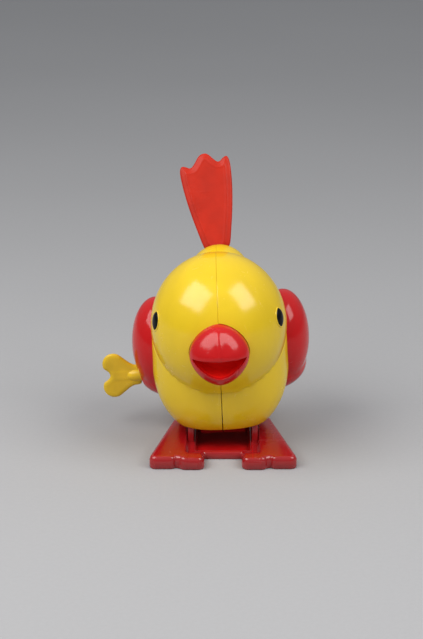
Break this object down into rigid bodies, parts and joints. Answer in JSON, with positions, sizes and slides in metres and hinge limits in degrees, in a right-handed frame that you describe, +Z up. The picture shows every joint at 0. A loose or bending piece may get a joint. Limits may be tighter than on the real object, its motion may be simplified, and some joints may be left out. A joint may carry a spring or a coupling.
{
  "type": "wind-up toy bird",
  "caption": "wind-up hopping toy bird in moulded plastic: shell body, domed wings, upright tail feather, side butterfly key and one-piece feet rocked by a spring motor",
  "frame": {"origin": "on the sole, the underside of the web that joins the feet, on the toy's middle plane", "axes": "+Z up, -Y forwards (the way the bird faces), +X to its left wing"},
  "size_m": [0.0727, 0.0709, 0.095],
  "materials": {
    "red_plastic": "moulded, glossy, rounded edges",
    "yellow_plastic": "moulded, glossy, with a fine seam on the middle plane",
    "tail_plastic": "moulded, satin, lightly scuffed",
    "key_plastic": "moulded, satin",
    "black_gloss": "polished insert",
    "case_plastic": "moulded, matte",
    "gear_plastic": "natural acetal, moulded",
    "steel": "turned, bright",
    "spring_steel": "blued strip",
    "brass": "stamped, bright"
  },
  "bodies": {
    "feet": {"feet_frame": "red_plastic", "pivot_pin": "steel"},
    "bird": {"body_shell_left": "yellow_plastic", "body_shell_right": "yellow_plastic", "beak": "red_plastic", "eye_left": "black_gloss", "eye_right": "black_gloss", "wing_left": "red_plastic", "wing_right": "red_plastic", "tail": "tail_plastic", "motor_case_left": "case_plastic", "motor_case_right": "case_plastic", "case_rivet_front": "steel", "case_rivet_top": "steel", "case_rivet_rear": "steel", "mainspring": "spring_steel"},
    "great": {"great_wheel": "gear_plastic", "click_spring": "spring_steel"},
    "key": {"winding_key": "key_plastic", "winding_arbor": "steel"},
    "second": {"second_wheel": "gear_plastic"},
    "crank": {"crank_wheel": "gear_plastic", "crank_left": "steel", "crank_right": "steel"},
    "third": {"third_wheel": "gear_plastic"},
    "escape": {"escape_wheel": "brass"},
    "governor": {"pallet": "brass"}
  },
  "joints": [
    {"name": "feet_hop", "type": "hinge", "parent": "feet", "child": "bird", "pos_m": [0, -0.0025, 0.0085], "axis": [1, 0, 0], "range_deg": [-8, 8]},
    {"name": "great_wheel_turn", "type": "hinge", "parent": "bird", "child": "great", "pos_m": [-0.00051, 0.0125, 0.02119], "axis": [0.9992, 0, 0.0401], "continuous": true},
    {"name": "key_turn", "type": "hinge", "parent": "bird", "child": "key", "pos_m": [-0.00051, 0.0125, 0.02119], "axis": [0.9992, 0, 0.0401], "continuous": true},
    {"name": "second_wheel_turn", "type": "hinge", "parent": "bird", "child": "second", "pos_m": [-0.00077, 0.00236, 0.02759], "axis": [0.9992, 0, 0.0401], "continuous": true},
    {"name": "crank_turn", "type": "hinge", "parent": "bird", "child": "crank", "pos_m": [-0.00036, 0.001, 0.01749], "axis": [0.9992, 0, 0.0401], "continuous": true},
    {"name": "third_wheel_turn", "type": "hinge", "parent": "bird", "child": "third", "pos_m": [-0.00055, -0.00555, 0.02208], "axis": [0.9992, 0, 0.0401], "continuous": true},
    {"name": "escape_wheel_turn", "type": "hinge", "parent": "bird", "child": "escape", "pos_m": [-0.00082, -0.00736, 0.02883], "axis": [0.9992, 0, 0.0401], "continuous": true},
    {"name": "pallet_rock", "type": "hinge", "parent": "bird", "child": "governor", "pos_m": [-0.001, -0.00476, 0.03333], "axis": [0.9992, 0, 0.0401], "range_deg": [-4, 4]}
  ],
  "couplings": [
    {"joint": "key_turn", "follows": "great_wheel_turn", "ratio": 1},
    {"joint": "second_wheel_turn", "follows": "great_wheel_turn", "ratio": -3},
    {"joint": "crank_turn", "follows": "great_wheel_turn", "ratio": 7.2},
    {"joint": "third_wheel_turn", "follows": "great_wheel_turn", "ratio": -21.6},
    {"joint": "escape_wheel_turn", "follows": "great_wheel_turn", "ratio": 54}
  ]
}
